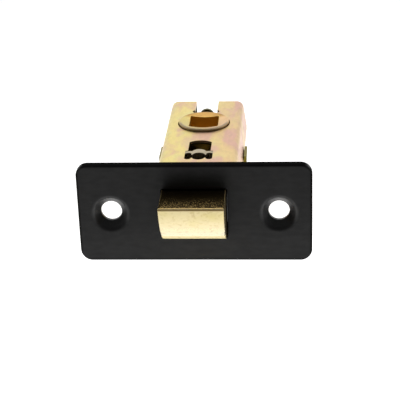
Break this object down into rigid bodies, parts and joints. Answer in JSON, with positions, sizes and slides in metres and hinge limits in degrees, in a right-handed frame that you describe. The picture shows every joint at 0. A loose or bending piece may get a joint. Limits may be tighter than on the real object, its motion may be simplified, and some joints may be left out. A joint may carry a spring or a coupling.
{
  "type": "tubular mortice latch",
  "caption": "Sprung tubular mortice door latch with a bevelled brass bolt, a black screw-fixed forend and a square-hole follower in a two-half pressed steel case.",
  "frame": {"origin": "middle of the outer forend plate's back rim plane, between its two screw holes", "axes": "+X along the forend's length, +Y from the door's edge into the door, +Z across the door's thickness, on the side away from the bolt's bevel"},
  "size_m": [0.06, 0.0737, 0.0268],
  "materials": {
    "black_plate": "matt black powder coat",
    "passivated_steel": "iridescent yellow passivated zinc plate",
    "zinc_steel": "bright zinc plate",
    "abutment_steel": "zinc plate",
    "follower_metal": "yellow passivated casting",
    "brass": "satin polished brass",
    "rivet_steel": "bright zinc plate",
    "spring_steel": "bright drawn wire",
    "nylon": "natural nylon"
  },
  "bodies": {
    "case": {"faceplate": "black_plate", "inner_forend": "zinc_steel", "case_upper": "passivated_steel", "case_lower": "passivated_steel", "spring_abutment": "abutment_steel", "follower_washer_upper": "nylon", "follower_washer_lower": "nylon", "bolt_spring": "spring_steel"},
    "bolt": {"latch_bolt": "brass", "tail_bar_left": "zinc_steel", "tail_bar_right": "zinc_steel", "tail_rivets": "rivet_steel"},
    "follower": {"follower": "follower_metal"}
  },
  "joints": [
    {"name": "bolt_slide", "type": "slide", "parent": "case", "child": "bolt", "axis": [0, 1, 0], "range_m": [0, 0.0112], "stiffness_N_per_m": 400, "springref_m": -0.005, "deforming": ["bolt_spring"]},
    {"name": "follower_turn", "type": "hinge", "parent": "case", "child": "follower", "pos_m": [0, 0.042, 0], "axis": [0, 0, 1], "range_deg": [0, 78]}
  ],
  "couplings": [
    {"joint": "follower_turn", "follows": "bolt_slide", "rad_per_m": 121.55}
  ]
}
